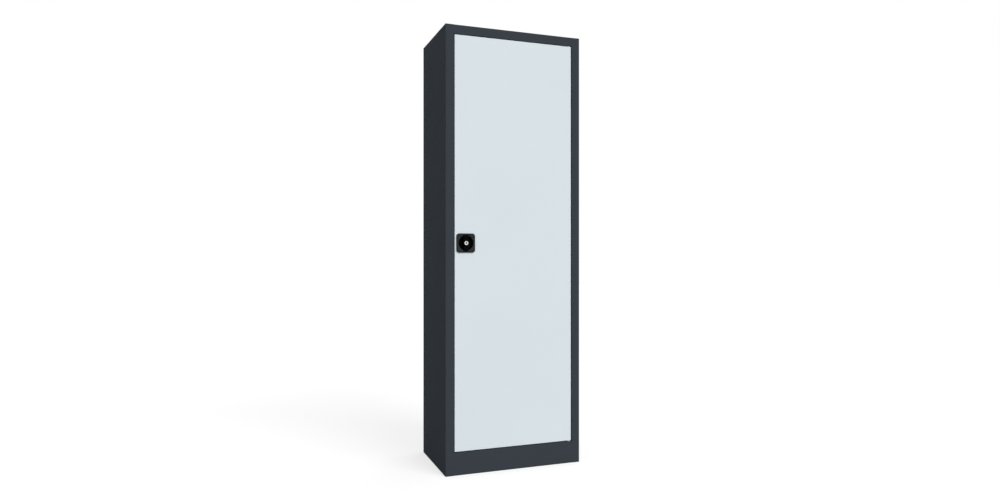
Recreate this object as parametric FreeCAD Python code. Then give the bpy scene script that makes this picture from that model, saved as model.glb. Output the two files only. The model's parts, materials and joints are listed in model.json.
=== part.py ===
import FreeCAD, Part
import math
import os

# Sizes are millimetres. The front faces -Y, +Z is up, and the origin is on the floor
# under the middle of the carcass.

# Carcass
cabinet_width = 600.0
cabinet_depth = 400.0
cabinet_height = 1850.0
sheet = 0.8
bend_radius = 0.8
stile_face = 36.5
stop_flange = 14.5
rear_flange = 25.0
floor_flange = 20.0
flange_inset = 30.0
header_face = 38.0
header_land = 7.0
header_upstand = 20.0
plinth_height = 94.0
sill_land = 22.0
sill_lap = 20.0
weld_flange = 20.0
floor_pan_depth = 25.0
floor_pan_lip = 12.0

# Shelves, their slotted rails and their clips
shelf_count = 4
shelf_thickness = 25.0
shelf_lip = 12.0
shelf_clearance = 18.0
shelf_back_gap = 8.0
shelf_side_gap = 2.5
shelf_brace_width = 60.0
shelf_brace_depth = 15.0
shelf_brace_flange = 12.0
shelf_brace_end_gap = 3.0
rail_depth = 10.0
rail_web = 24.0
rail_flange = 9.0
rail_setback = 90.0
rail_back_gap = 50.0
rail_top_gap = 2.0
slot_pitch = 25.0
slot_width = 14.0
slot_height = 5.0
slot_end_margin = 40.0
clip_sheet = 1.5
clip_width = 20.0
clip_ledge = 14.0
clip_leg = 22.0
clip_drop = 10.0
clip_hook = 6.0
clip_slot_gap = 0.4

# Door
door_thickness = 20.0
door_lip = 15.0
latch_gap = 2.0
hinge_gap = 3.5
top_gap = 2.4
bottom_gap = 3.5
door_brace_width = 80.0
door_brace_clearance = 2.4
door_brace_flange = 15.0
door_brace_end_gap = 4.0
buffer_radius = 5.0
buffer_thickness = 3.7
buffer_gap = 0.3
buffer_chamfer = 0.8
buffer_end_inset = 60.0

# Pivot hinge
hinge_inset = 8.0
hinge_setback = 7.0
pin_radius = 3.0
pin_fit = 0.05
pin_head_lip = 2.0
pin_head_height = 2.0
pin_reach = 9.0
bush_wall = 1.5
bush_flange_lip = 0.95
bush_flange_height = 1.0
bush_length = 10.0
washer_play = 0.2
bracket_thickness = 4.0
bracket_width = 32.0
bracket_side_gap = 1.0
bracket_depth = 22.0
pivot_plate_thickness = 3.0
pivot_plate_width = 30.0

# Handle
plate_edge_gap = 7.0
handle_height = 954.2
plate_margin = 8.5
plate_proud = 5.0
plate_corner = 12.0
plate_edge_round = 1.5
dish_radius = 31.0
dish_floor = 10.0
housing_wall = 2.5
boss_wall = 7.0
housing_hole_gap = 0.3
grip_width = 22.0
grip_reach = 34.5
grip_proud = 9.0
grip_gap = 0.8
grip_edge_round = 3.0
stem_wall = 4.0
stem_proud = 10.5
stem_fit = 0.1
screw_radius = 2.0
screw_grip = 4.0
screw_head_radius = 4.0
screw_head_height = 2.4
screw_inset = 8.5
screw_hole_gap = 0.2

# Lock cylinder
barrel_radius = 9.0
barrel_proud = 12.0
barrel_fit = 0.05
barrel_edge_round = 0.8
plug_radius = 6.0
plug_sink = 0.3
plug_fit = 0.05
keyway_width = 2.4
keyway_height = 8.0
keyway_depth = 16.0
bolt_throw = 3.5
bolt_width = 10.0
bolt_thickness = 4.4
bolt_tail = 6.0
bolt_gap = 0.3
bolt_wall = 3.0
bolt_cover = 2.0
notch_gap = 0.5
eccentric_radius = 1.2
eccentric_play = 0.35
eccentric_end_gap = 0.3

# Latch cam and rods
spindle_side = 8.0
spindle_fit = 0.05
spindle_socket_wall = 1.5
cam_gap = 0.8
cam_thickness = 3.0
cam_rim = 6.5
cam_boss_gap = 0.3
tongue_width = 20.0
tongue_margin = 5.0
tongue_round = 4.0
cam_screw_radius = 2.5
cam_screw_depth = 8.0
cam_screw_head_radius = 4.5
cam_screw_head_height = 3.0
cam_washer_radius = 8.0
cam_washer_thickness = 1.5
rod_throw = 22.0
rod_width = 18.0
rod_thickness = 3.0
rod_end = 10.0
rod_bevel = 2.5
rod_rest_gap = 2.0
rod_pin_radius = 3.0
rod_pin_collar_radius = 4.5
rod_pin_collar_length = 5.0
rod_pin_play = 0.8
rod_side_gap = 0.4
rod_slot_gap = 1.0
retainer_radius = 5.5
retainer_thickness = 1.0
guide_thickness = 2.0
guide_wall = 9.0
guide_overhang = 5.0
guide_edge = 1.0
guide_gap = 0.3
rivet_radius = 2.0
rivet_head_radius = 3.6
rivet_head_height = 1.2
rivet_inset = 5.5
rivet_fit = 0.05

# Places worked out from the sizes, and depths behind the front plane
half_sheet = sheet / 2
fold = bend_radius + sheet
half_width = cabinet_width / 2
front = -cabinet_depth / 2
rear = cabinet_depth / 2
wall_face = half_width - sheet
back_face = rear - 2 * sheet
opening = half_width - stile_face
frame_end = opening + fold
header_z = cabinet_height - header_face
floor_z = plinth_height - sheet
door_left = latch_gap - opening
door_right = opening - hinge_gap
door_width = door_right - door_left
door_middle = (door_left + door_right) / 2
door_bottom = plinth_height + bottom_gap
door_top = header_z - top_gap
stile_return = door_thickness + buffer_gap + buffer_thickness
hinge_x = door_right - hinge_inset
hinge_y = front + hinge_setback
plate_half = dish_radius + plate_margin
handle_x = door_left + plate_edge_gap + plate_half
dish_depth = dish_floor + plate_proud
stem_radius = barrel_radius + stem_wall
cam_front = stile_return + sheet + cam_gap
cam_back = cam_front + cam_thickness
rod_front = cam_back + rod_pin_collar_length + rod_side_gap
rod_back = rod_front + rod_thickness
rod_pin_reach = rod_throw / math.sqrt(2)
rod_pin_rest = rod_throw / 2
rod_offset = (rod_pin_reach + rod_pin_rest) / 2
upper_rod_x = handle_x - rod_offset
lower_rod_x = handle_x + rod_offset
guide_back = rod_back + guide_overhang
header_return = rod_back + rod_slot_gap + header_land
sill_depth = rod_back + rod_slot_gap + sill_land


def vec(x, y, z):
    return FreeCAD.Vector(x, y, z)


def block(x0, x1, y0, y1, z0, z1):
    """A block between two corners."""
    return Part.makeBox(x1 - x0, y1 - y0, z1 - z0, vec(x0, y0, z0))


def upright(radius, z0, z1, x, y):
    """A vertical cylinder."""
    return Part.makeCylinder(radius, z1 - z0, vec(x, y, z0))


def level(radius, depth0, depth1, x, z):
    """A cylinder along the depth, placed by its distances behind the front plane."""
    return Part.makeCylinder(radius, depth1 - depth0, vec(x, front + depth0, z), vec(0, 1, 0))


def deep_block(x, half_x, depth0, depth1, z, half_z):
    """A block centred on x and z, placed by its distances behind the front plane."""
    return block(x - half_x, x + half_x, front + depth0, front + depth1, z - half_z, z + half_z)


def one_solid(shape):
    """The single solid of a shape, with faces in one plane joined."""
    return shape.removeSplitter().Solids[0]


def fold_edges(corners, offset):
    """One face of a sheet with right-angle folds, at an offset to the left of its middle line."""
    radius = bend_radius + half_sheet
    ways = [(after - before).normalize() for before, after in zip(corners, corners[1:])]
    sides = [vec(-way.y, way.x, 0) * offset for way in ways]
    edges = []
    start = corners[0] + sides[0]
    for i in range(1, len(ways)):
        before, after = ways[i - 1], ways[i]
        centre = corners[i] + (after - before) * radius
        bend_start = corners[i] - before * radius + sides[i - 1]
        bend_end = corners[i] + after * radius + sides[i]
        bend_middle = centre + (before - after).normalize() * (bend_start - centre).Length
        edges.append(Part.makeLine(start, bend_start))
        edges.append(Part.Arc(bend_start, bend_middle, bend_end).toShape())
        start = bend_end
    edges.append(Part.makeLine(start, corners[-1] + sides[-1]))
    return edges


def folded_sheet(points, length):
    """A sheet folded along a middle line drawn in X and Y, and swept up along Z."""
    corners = [vec(x, y, 0) for x, y in points]
    left = fold_edges(corners, half_sheet)
    right = fold_edges(corners, -half_sheet)
    caps = [
        Part.makeLine(left[0].firstVertex().Point, right[0].firstVertex().Point),
        Part.makeLine(left[-1].lastVertex().Point, right[-1].lastVertex().Point),
    ]
    outline = Part.Wire(Part.__sortEdges__(left + right + caps))
    return Part.Face(outline).extrude(vec(0, 0, length))


def across(profile_sweep):
    """Turns a sweep drawn in depth and height so that it runs along the width, centred on x = 0."""
    turned_sweep = profile_sweep.rotated(vec(0, 0, 0), vec(1, 1, 1), 120)
    return turned_sweep.translated(vec(-turned_sweep.BoundBox.XMax / 2, 0, 0))


def hat_points(web, depth, flange):
    """Middle line of a hat section whose flanges lie on y = 0 and whose web stands at the depth."""
    base = half_sheet
    crest = depth - half_sheet
    half_web = web / 2 - half_sheet
    return [
        (-half_web - flange, base),
        (-half_web, base),
        (-half_web, crest),
        (half_web, crest),
        (half_web, base),
        (half_web + flange, base),
    ]


def rounded_block(width, height, depth, inset, radius):
    """A block with all its edges rounded, drawn in from a pan's outside by an inset."""
    half_x = width / 2 - inset
    half_y = height / 2 - inset
    raw = block(-half_x, half_x, -half_y, half_y, inset, depth - inset)
    return raw.makeFillet(radius, raw.Edges).Solids[0]


def pan(width, height, depth, lip):
    """A folded pan: skin on z = 0, four walls up to the depth, and lips turned inwards."""
    outside = rounded_block(width, height, depth, 0, fold)
    inside = rounded_block(width, height, depth, sheet, bend_radius)
    half_x = width / 2 - lip
    half_y = height / 2 - lip
    mouth = block(-half_x, half_x, -half_y, half_y, depth / 2, 2 * depth)
    return outside.cut(inside).cut(mouth).Solids[0]


# Carcass sheet metal

def side_panel():
    """The left side: rear flange, wall, stile, its return and the door stop, with end flanges."""
    stile_x = -opening - half_sheet
    points = [
        (rear_flange - half_width, rear - half_sheet),
        (half_sheet - half_width, rear - half_sheet),
        (half_sheet - half_width, front + half_sheet),
        (stile_x, front + half_sheet),
        (stile_x, front + stile_return + half_sheet),
        (stop_flange - opening, front + stile_return + half_sheet),
    ]
    wall = folded_sheet(points, cabinet_height)
    reach = 2 * (stile_return + stop_flange)
    for low, high in ((0, plinth_height), (header_z, cabinet_height)):
        wall = wall.cut(block(-frame_end, reach - frame_end, front - sheet, front + reach, low, high))
    for width, z0 in ((floor_flange, 0), (weld_flange, cabinet_height - 2 * sheet)):
        flange = block(
            half_sheet - half_width,
            width - half_width,
            front + flange_inset,
            rear - flange_inset,
            z0,
            z0 + sheet,
        )
        wall = wall.fuse(flange)
    return one_solid(wall)


def back_panel():
    """A flat sheet against the rear flanges, clear of the rounded inside of their folds."""
    reach = half_width - fold
    return block(-reach, reach, back_face, rear - sheet, 0, cabinet_height)


def top_panel():
    """Top skin folded down into the header and back into its return, with wings over the sides' flanges."""
    rear_mid = back_face - half_sheet
    top_mid = cabinet_height - half_sheet
    upstand_mid = front + header_return - half_sheet
    points = [
        (rear_mid, cabinet_height - weld_flange),
        (rear_mid, top_mid),
        (front + half_sheet, top_mid),
        (front + half_sheet, header_z + half_sheet),
        (upstand_mid, header_z + half_sheet),
        (upstand_mid, header_z + header_upstand),
    ]
    panel = across(folded_sheet(points, 2 * frame_end))
    for side in (-1, 1):
        edges = sorted((side * frame_end, side * wall_face))
        wing = block(*edges, front + fold, back_face, cabinet_height - sheet, cabinet_height)
        panel = panel.fuse(wing)
    rod_slot = deep_block(
        upper_rod_x,
        rod_width / 2 + rod_slot_gap,
        rod_front - rod_slot_gap,
        rod_back + rod_slot_gap,
        header_z + half_sheet,
        sheet,
    )
    pin_hole = upright(pin_radius + pin_fit, header_z - sheet, header_z + 2 * sheet, hinge_x, hinge_y)
    return one_solid(panel.cut(rod_slot).cut(pin_hole))


def plinth_panel():
    """Front of the base, with a floor flange below and the sill folded back above."""
    points = [
        (front + floor_flange, half_sheet),
        (front + half_sheet, half_sheet),
        (front + half_sheet, plinth_height - half_sheet),
        (front + sill_depth, plinth_height - half_sheet),
    ]
    panel = across(folded_sheet(points, 2 * frame_end))
    rod_slot = deep_block(
        lower_rod_x,
        rod_width / 2 + rod_slot_gap,
        rod_front - rod_slot_gap,
        rod_back + rod_slot_gap,
        plinth_height - half_sheet,
        sheet,
    )
    pin_hole = upright(pin_radius + pin_fit, floor_z - sheet, plinth_height + sheet, hinge_x, hinge_y)
    return one_solid(panel.cut(rod_slot).cut(pin_hole))


def bottom_panel():
    """The cabinet's floor, an upturned pan lapped under the sill."""
    pan_front = front + sill_depth - sill_lap
    tray = pan(2 * wall_face, back_face - pan_front, floor_pan_depth, floor_pan_lip)
    tray = tray.rotated(vec(0, 0, 0), vec(1, 0, 0), 180)
    return tray.translated(vec(0, (pan_front + back_face) / 2, floor_z))


# Rails, shelves and clips

rail_ys = {"front": front + rail_setback, "rear": back_face - rail_back_gap}
rail_face = wall_face - rail_depth
rail_top = header_z - rail_top_gap
slot_start = floor_z + slot_end_margin
slot_count = int((rail_top - slot_start - slot_end_margin) / slot_pitch) + 1
shelf_half_width = rail_face - shelf_side_gap
shelf_front = front + guide_back + shelf_clearance
shelf_back = back_face - shelf_back_gap
shelf_middle = (shelf_front + shelf_back) / 2


def slot_z(index):
    return slot_start + index * slot_pitch


def shelf_slot(number):
    """The slot that carries a shelf: shelves share the rail evenly."""
    return round(number * slot_count / (shelf_count + 1)) - 1


def shelf_underside(number):
    return slot_z(shelf_slot(number)) + clip_drop


def left_rail(rail_y):
    """A hat-section upright on the left wall, slotted along its whole height."""
    rail = folded_sheet(hat_points(rail_web, rail_depth, rail_flange), rail_top - floor_z)
    rail = rail.rotated(vec(0, 0, 0), vec(0, 0, 1), -90)
    rail = rail.translated(vec(-wall_face, rail_y, floor_z))
    slots = [
        block(
            -rail_face - 2 * sheet,
            -rail_face + sheet,
            rail_y - slot_width / 2,
            rail_y + slot_width / 2,
            slot_z(i) - slot_height / 2,
            slot_z(i) + slot_height / 2,
        )
        for i in range(slot_count)
    ]
    return rail.cut(Part.makeCompound(slots)).Solids[0]


def shelf(number):
    tray = pan(2 * shelf_half_width, shelf_back - shelf_front, shelf_thickness, shelf_lip)
    tray = tray.rotated(vec(0, 0, 0), vec(1, 0, 0), 180)
    return tray.translated(vec(0, shelf_middle, shelf_underside(number) + shelf_thickness))


def shelf_stiffener(number):
    """A hat section welded under the shelf's skin, along its width."""
    length = 2 * (shelf_half_width - sheet - shelf_brace_end_gap)
    points = hat_points(shelf_brace_width, shelf_brace_depth, shelf_brace_flange)
    hat = across(folded_sheet([(x, -y) for x, y in points], length))
    skin_z = shelf_underside(number) + shelf_thickness - sheet
    return hat.translated(vec(0, shelf_middle, skin_z))


def left_clip(rail_y, number):
    """A folded clip: a ledge under the shelf, a leg on the rail and a hook through its slot."""
    ledge_z = shelf_underside(number)
    low, high = rail_y - clip_width / 2, rail_y + clip_width / 2
    ledge = block(-rail_face, clip_ledge - rail_face, low, high, ledge_z - clip_sheet, ledge_z)
    leg = block(-rail_face, clip_sheet - rail_face, low, high, ledge_z - clip_leg, ledge_z)
    hook_y = slot_width / 2 - clip_slot_gap
    hook_z = slot_height / 2 - clip_slot_gap
    middle_z = slot_z(shelf_slot(number))
    hook = block(
        -rail_face - clip_hook,
        -rail_face,
        rail_y - hook_y,
        rail_y + hook_y,
        middle_z - hook_z,
        middle_z + hook_z,
    )
    return one_solid(ledge.fuse(leg).fuse(hook))


def mirrored(shape):
    """The same piece on the cabinet's other side."""
    return shape.mirror(vec(0, 0, 0), vec(1, 0, 0)).Solids[0]


# Pivot hinge

bush_radius = pin_radius + pin_fit + bush_wall
bush_flange_radius = bush_radius + bush_flange_lip
pin_head_radius = pin_radius + pin_head_lip
washer_height = bottom_gap - bush_flange_height - washer_play


def hinge_bracket(z0):
    """A plate behind the frame that holds a hinge pin."""
    right = frame_end - bracket_side_gap
    plate = block(
        right - bracket_width,
        right,
        front + fold,
        front + fold + bracket_depth,
        z0,
        z0 + bracket_thickness,
    )
    return plate.cut(upright(pin_radius + pin_fit, z0, z0 + bracket_thickness, hinge_x, hinge_y))


def upper_hinge_pin():
    seat = header_z + sheet + bracket_thickness
    shank = upright(pin_radius, door_top - pin_reach, seat, hinge_x, hinge_y)
    return one_solid(shank.fuse(upright(pin_head_radius, seat, seat + pin_head_height, hinge_x, hinge_y)))


def lower_hinge_pin():
    seat = floor_z - bracket_thickness
    shank = upright(pin_radius, seat, door_bottom + pin_reach, hinge_x, hinge_y)
    return one_solid(shank.fuse(upright(pin_head_radius, seat - pin_head_height, seat, hinge_x, hinge_y)))


def ring(outer, inner, z0, z1):
    """A ring about the hinge axis."""
    return upright(outer, z0, z1, hinge_x, hinge_y).cut(upright(inner, z0, z1, hinge_x, hinge_y))


def hinge_washer():
    return ring(bush_flange_radius, pin_radius + pin_fit, plinth_height, plinth_height + washer_height)


def upper_hinge_bush():
    sleeve = ring(bush_radius, pin_radius + pin_fit, door_top - bush_length, door_top)
    flange = ring(bush_flange_radius, pin_radius + pin_fit, door_top, door_top + bush_flange_height)
    return one_solid(sleeve.fuse(flange))


def lower_hinge_bush():
    sleeve = ring(bush_radius, pin_radius + pin_fit, door_bottom, door_bottom + bush_length)
    flange = ring(bush_flange_radius, pin_radius + pin_fit, door_bottom - bush_flange_height, door_bottom)
    return one_solid(sleeve.fuse(flange))


def pivot_plate(z0):
    """A plate inside the pan's end wall that holds a bush."""
    plate = block(
        door_right - fold - pivot_plate_width,
        door_right - fold,
        front + fold,
        front + door_thickness - fold,
        z0,
        z0 + pivot_plate_thickness,
    )
    return plate.cut(upright(bush_radius + pin_fit, z0, z0 + pivot_plate_thickness, hinge_x, hinge_y))


# Door

screw_places = [
    (handle_x + side * (plate_half - screw_inset), handle_height + up * (plate_half - screw_inset))
    for side in (-1, 1)
    for up in (-1, 1)
]


def guide_rivet_places(rod_x):
    spread = rod_width / 2 + guide_wall - rivet_inset
    return [rod_x - spread, rod_x + spread]


upper_rivet_z = door_top - guide_edge - rivet_inset
lower_rivet_z = door_bottom + guide_edge + rivet_inset
rivet_places = [(x, upper_rivet_z) for x in guide_rivet_places(upper_rod_x)]
rivet_places += [(x, lower_rivet_z) for x in guide_rivet_places(lower_rod_x)]


def door_panel():
    """The door's pan, with holes for the handle, its screws, the bushes and the guide rivets."""
    door = pan(door_width, door_top - door_bottom, door_thickness, door_lip)
    door = door.rotated(vec(0, 0, 0), vec(1, 0, 0), -90)
    door = door.translated(vec(door_middle, front, (door_bottom + door_top) / 2))
    hole = dish_radius + housing_wall + housing_hole_gap
    cuts = [level(hole, -sheet, 2 * sheet, handle_x, handle_height)]
    cuts += [level(screw_radius + screw_hole_gap, -sheet, 2 * sheet, x, z) for x, z in screw_places]
    for z in (door_bottom, door_top - sheet):
        cuts.append(upright(bush_radius + pin_fit, z - sheet, z + 2 * sheet, hinge_x, hinge_y))
    for x, z in rivet_places:
        cuts.append(level(rivet_radius + rivet_fit, door_thickness - 2 * sheet, door_thickness + sheet, x, z))
    return door.cut(Part.makeCompound(cuts)).Solids[0]


def door_stiffener():
    """A vertical hat section on the inside of the skin."""
    length = door_top - door_bottom - 2 * (sheet + door_brace_end_gap)
    depth = door_thickness - 2 * sheet - door_brace_clearance
    hat = folded_sheet(hat_points(door_brace_width, depth, door_brace_flange), length)
    return hat.translated(vec(door_middle, front + sheet, door_bottom + sheet + door_brace_end_gap))


def door_buffers():
    """Rubber buffers on the latch-side stop, spread along the door's height."""
    x = stop_flange / 2 - opening
    low, high = door_bottom + buffer_end_inset, door_top - buffer_end_inset
    middle_y = front + stile_return - buffer_thickness / 2
    buffers = []
    for z in (low, (low + high) / 2, high):
        disc = level(buffer_radius, stile_return - buffer_thickness, stile_return, x, z)
        rim = [edge for edge in disc.Edges if edge.BoundBox.YMax < middle_y]
        buffers.append(disc.makeChamfer(buffer_chamfer, rim).Solids[0])
    return Part.makeCompound(buffers)


# Handle housing and grip

def dish(gap):
    """The handle's round hollow, drawn in by a gap: flat floor, quarter-round side and open mouth."""
    radius = dish_depth - gap
    inner = dish_radius - dish_depth
    mouth = 2 * plate_proud + stem_proud

    def at(reach, depth):
        return vec(handle_x + reach, front + depth, handle_height)

    centre_depth = -plate_proud
    diagonal = radius / math.sqrt(2)
    floor_edge = at(inner, centre_depth + radius)
    rim = at(inner + radius, centre_depth)
    side_middle = at(inner + diagonal, centre_depth + diagonal)
    edges = [
        Part.makeLine(at(0, centre_depth + radius), floor_edge),
        Part.Arc(floor_edge, side_middle, rim).toShape(),
        Part.makeLine(rim, at(inner + radius, -mouth)),
        Part.makeLine(at(inner + radius, -mouth), at(0, -mouth)),
        Part.makeLine(at(0, -mouth), at(0, centre_depth + radius)),
    ]
    return Part.Face(Part.Wire(edges)).revolve(at(0, 0), vec(0, 1, 0), 360)


# Depths of the lock bolt's channel in the stem, behind the front plane
bolt_front = dish_floor + bolt_cover + notch_gap
bolt_back = bolt_front + bolt_thickness
channel_front = bolt_front - bolt_gap
barrel_back = channel_front - bolt_wall
channel_back = bolt_back + bolt_gap
bolt_tip = math.sqrt((stem_radius - bolt_gap) ** 2 - (bolt_width / 2) ** 2)
boss_radius = stem_radius + boss_wall
boss_back = cam_front - cam_boss_gap
socket_front = channel_back + spindle_socket_wall


def handle_plate():
    """The square plate with round corners and a softened front rim."""
    plate = deep_block(handle_x, plate_half, -plate_proud, 0, handle_height, plate_half)
    corners = [edge for edge in plate.Edges if edge.BoundBox.YLength > plate_proud / 2]
    plate = plate.makeFillet(plate_corner, corners).Solids[0]
    rim = [edge for edge in plate.Edges if edge.BoundBox.YMax < front - plate_proud / 2]
    return plate.makeFillet(plate_edge_round, rim).Solids[0]


def handle_housing():
    """Plate, dish and bearing boss in one moulding, notched for the lock bolt at each end of the turn."""
    behind = deep_block(handle_x, plate_half, -plate_proud / 2, boss_back, handle_height, plate_half)
    bowl = dish(-housing_wall).common(behind)
    boss = level(boss_radius, dish_floor, boss_back, handle_x, handle_height)
    housing = handle_plate().fuse(bowl).fuse(boss).cut(dish(0))
    housing = housing.cut(level(stem_radius + stem_fit, -plate_proud, boss_back, handle_x, handle_height))
    tip = bolt_tip + bolt_throw + notch_gap
    half = bolt_width / 2 + notch_gap
    notch = block(
        handle_x,
        handle_x + tip,
        front + bolt_front - notch_gap,
        front + bolt_back + notch_gap,
        handle_height - half,
        handle_height + half,
    )
    turned_notch = notch.rotated(vec(handle_x, front, handle_height), vec(0, 1, 0), 90)
    housing = housing.cut(notch).cut(turned_notch)
    pilots = [level(screw_radius + barrel_fit, -screw_grip, 0, x, z) for x, z in screw_places]
    return one_solid(housing.cut(Part.makeCompound(pilots)))


def handle_screws():
    """Pan-head screws from inside the door into the plate's corners."""
    screws = []
    for x, z in screw_places:
        shank = level(screw_radius, -screw_grip, sheet, x, z)
        head = level(screw_head_radius, sheet, sheet + screw_head_height, x, z)
        screws.append(one_solid(shank.fuse(head)))
    return Part.makeCompound(screws)


def handle_grip():
    """Grip bar over the dish and its rim, and stem: bored for the barrel, the lock bolt and the spindle."""
    bar = deep_block(handle_x, grip_width / 2, -grip_proud, dish_floor, handle_height, grip_reach)
    front_edges = [edge for edge in bar.Edges if edge.BoundBox.YMax < front - grip_proud / 2]
    bar = bar.makeFillet(grip_edge_round, front_edges).Solids[0]
    over_rim = level(grip_reach, -2 * grip_proud, -plate_proud - grip_gap, handle_x, handle_height)
    bar = bar.common(dish(grip_gap).fuse(over_rim))
    stem = level(stem_radius, -stem_proud, cam_front, handle_x, handle_height)
    grip = stem.fuse(bar)
    grip = grip.cut(level(barrel_radius + barrel_fit, -stem_proud, barrel_back, handle_x, handle_height))
    grip = grip.cut(level(plug_radius + bolt_gap, barrel_back, channel_front, handle_x, handle_height))
    channel = block(
        handle_x - bolt_tail - bolt_gap,
        handle_x + stem_radius + bolt_gap,
        front + channel_front,
        front + channel_back,
        handle_height - bolt_width / 2 - bolt_gap,
        handle_height + bolt_width / 2 + bolt_gap,
    )
    socket = spindle_side / 2 + spindle_fit
    grip = grip.cut(channel)
    grip = grip.cut(deep_block(handle_x, socket, socket_front, cam_front, handle_height, socket))
    return one_solid(grip)


# Lock cylinder

eccentric = bolt_throw / math.sqrt(2)
eccentric_rest = bolt_throw / 2


def cylinder_barrel():
    barrel = level(barrel_radius, -barrel_proud, barrel_back, handle_x, handle_height)
    rim = [edge for edge in barrel.Edges if edge.BoundBox.YMax < front - barrel_proud + barrel_fit]
    barrel = barrel.makeFillet(barrel_edge_round, rim).Solids[0]
    bore = level(plug_radius + plug_fit, -barrel_proud, barrel_back, handle_x, handle_height)
    return one_solid(barrel.cut(bore))


def cylinder_plug():
    """The turning plug: keyway in front, and an eccentric pin at its tail that pushes the bolt."""
    face = plug_sink - barrel_proud
    plug = level(plug_radius, face, channel_front, handle_x, handle_height)
    keyway_end = face + keyway_depth
    keyway = deep_block(handle_x, keyway_width / 2, face, keyway_end, handle_height, keyway_height / 2)
    pin = level(
        eccentric_radius,
        channel_front,
        bolt_back - eccentric_end_gap,
        handle_x - eccentric_rest,
        handle_height + eccentric_rest,
    )
    return one_solid(plug.cut(keyway).fuse(pin))


def lock_bolt():
    """A slide in the stem with a slot for the plug's eccentric pin."""
    bolt = block(
        handle_x - bolt_tail,
        handle_x + bolt_tip,
        front + bolt_front,
        front + bolt_back,
        handle_height - bolt_width / 2,
        handle_height + bolt_width / 2,
    )
    margin = eccentric_radius + eccentric_play
    slot = block(
        handle_x - eccentric_rest - margin,
        handle_x - eccentric_rest + margin,
        front + bolt_front,
        front + bolt_back,
        handle_height + eccentric_rest - margin,
        handle_height + eccentric + margin,
    )
    return one_solid(bolt.cut(slot))


# Latch cam on its spindle

rod_pin_places = [
    (handle_x - rod_pin_rest, handle_height - rod_pin_rest),
    (handle_x + rod_pin_rest, handle_height + rod_pin_rest),
]


def spindle():
    half = spindle_side / 2
    bar = deep_block(handle_x, half, socket_front, cam_back, handle_height, half)
    hole_front = cam_back - cam_screw_depth
    hole = level(cam_screw_radius + spindle_fit, hole_front, cam_back, handle_x, handle_height)
    return one_solid(bar.cut(hole))


def latch_cam():
    """A disc with the latch tongue hanging down at rest, square-holed for the spindle."""
    disc = level(rod_pin_reach + cam_rim, cam_front, cam_back, handle_x, handle_height)
    tongue_length = handle_x + opening - tongue_margin
    tongue = block(
        handle_x - tongue_width / 2,
        handle_x + tongue_width / 2,
        front + cam_front,
        front + cam_back,
        handle_height - tongue_length,
        handle_height,
    )
    low_corners = [edge for edge in tongue.Edges if edge.BoundBox.ZMax < handle_height - tongue_length / 2]
    low_corners = [edge for edge in low_corners if edge.BoundBox.YLength > cam_thickness / 2]
    tongue = tongue.makeFillet(tongue_round, low_corners).Solids[0]
    hole = spindle_side / 2 + spindle_fit
    cam = disc.fuse(tongue).cut(deep_block(handle_x, hole, cam_front, cam_back, handle_height, hole))
    for x, z in rod_pin_places:
        cam = cam.cut(level(rod_pin_radius + pin_fit, cam_front, cam_back, x, z))
    return one_solid(cam)


retainer_front = rod_back + rod_side_gap
retainer_back = retainer_front + retainer_thickness


def rod_pins():
    """Collared pins riveted into the cam, one for each rod."""
    pins = []
    for x, z in rod_pin_places:
        shank = level(rod_pin_radius, cam_front, retainer_back, x, z)
        collar = level(rod_pin_collar_radius, cam_back, cam_back + rod_pin_collar_length, x, z)
        pins.append(one_solid(shank.fuse(collar)))
    return Part.makeCompound(pins)


def rod_retainers():
    """Rings that keep the rods on their pins."""
    rings = []
    for x, z in rod_pin_places:
        disc = level(retainer_radius, retainer_front, retainer_back, x, z)
        rings.append(disc.cut(level(rod_pin_radius + pin_fit, retainer_front, retainer_back, x, z)))
    return Part.makeCompound(rings)


def cam_washer():
    back = cam_back + cam_washer_thickness
    disc = level(cam_washer_radius, cam_back, back, handle_x, handle_height)
    return disc.cut(level(cam_screw_radius + spindle_fit, cam_back, back, handle_x, handle_height))


def cam_screw():
    seat = cam_back + cam_washer_thickness
    shank = level(cam_screw_radius, cam_back - cam_screw_depth, seat, handle_x, handle_height)
    head = level(cam_screw_head_radius, seat, seat + cam_screw_head_height, handle_x, handle_height)
    return one_solid(shank.fuse(head))


# Rods and their guides

def rod(x, pin_z, z0, z1):
    """A flat bolt with a cross slot for its drive pin and a bevelled free end."""
    bar = deep_block(x, rod_width / 2, rod_front, rod_back, (z0 + z1) / 2, (z1 - z0) / 2)
    free_end = z1 if abs(z1 - pin_z) > abs(z0 - pin_z) else z0
    corners = [edge for edge in bar.Edges if edge.BoundBox.YLength > rod_thickness / 2]
    corners = [edge for edge in corners if abs(edge.CenterOfMass.z - free_end) < rod_bevel]
    bar = bar.makeChamfer(rod_bevel, corners).Solids[0]
    reach = rod_pin_radius + rod_pin_play
    half_travel = (rod_pin_reach - rod_pin_rest) / 2
    slot = deep_block(x, half_travel + reach, rod_front, rod_back, pin_z, reach)
    return one_solid(bar.cut(slot))


def upper_rod():
    pin_z = handle_height - rod_pin_rest
    return rod(upper_rod_x, pin_z, pin_z - rod_end, header_z - rod_rest_gap)


def lower_rod():
    pin_z = handle_height + rod_pin_rest
    return rod(lower_rod_x, pin_z, plinth_height + rod_rest_gap, pin_z + rod_end)


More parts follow.
